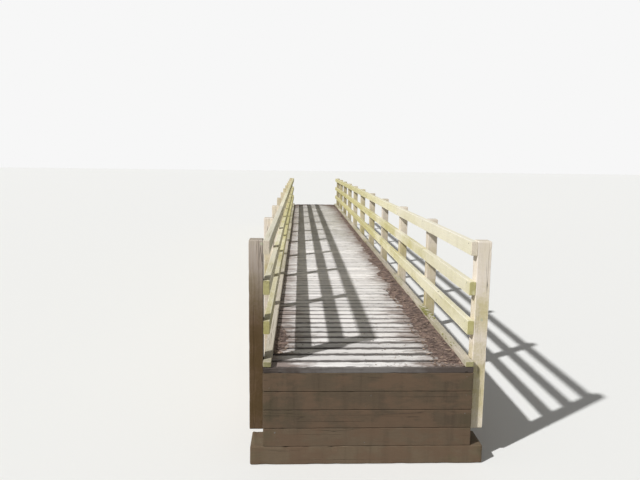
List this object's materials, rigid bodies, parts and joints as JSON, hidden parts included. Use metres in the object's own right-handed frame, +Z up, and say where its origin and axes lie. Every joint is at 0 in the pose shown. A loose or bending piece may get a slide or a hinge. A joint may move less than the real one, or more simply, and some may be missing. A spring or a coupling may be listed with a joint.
{
  "type": "timber footbridge",
  "caption": "Straight timber footbridge of cross boards on laminated beams, with square posts, three rails and a kerb on each side, resting on a sill at each end.",
  "frame": {"origin": "on the ground at the middle of the bridge, at the underside of the sills", "axes": "+Y along the bridge, away from the picture's camera; +X to the right across the deck; +Z up"},
  "size_m": [1.812, 16.206, 1.74],
  "materials": {
    "rail": "weathered sawn softwood, algae stained",
    "post": "weathered sawn softwood",
    "end_post": "weathered sawn softwood",
    "deck": "silver grey weathered boards",
    "kerb": "weathered softwood with moss",
    "beam": "laminated timber, brown and stained",
    "block": "sawn softwood",
    "end_board": "damp dark boards",
    "sill": "dark treated timber"
  },
  "bodies": {
    "root": {"left_post_1": "end_post", "left_post_2": "post", "left_post_3": "post", "left_post_4": "post", "left_post_5": "post", "left_post_6": "post", "left_post_7": "post", "left_post_8": "post", "left_post_9": "post", "left_post_10": "post", "left_post_11": "end_post", "right_post_1": "end_post", "right_post_2": "post", "right_post_3": "post", "right_post_4": "post", "right_post_5": "post", "right_post_6": "post", "right_post_7": "post", "right_post_8": "post", "right_post_9": "post", "right_post_10": "post", "right_post_11": "end_post", "left_top_rail": "rail", "left_middle_rail": "rail", "left_low_rail": "rail", "left_kerb": "kerb", "right_top_rail": "rail", "right_middle_rail": "rail", "right_low_rail": "rail", "right_kerb": "kerb", "deck_boards_1": "deck", "deck_boards_2": "deck", "deck_boards_3": "deck", "deck_boards_4": "deck", "deck_boards_5": "deck", "left_beam": "beam", "middle_beam": "beam", "right_beam": "beam", "left_blocks": "block", "right_blocks": "block", "near_end_boards": "end_board", "far_end_boards": "end_board", "near_sill": "sill", "far_sill": "sill"}
  },
  "joints": []
}
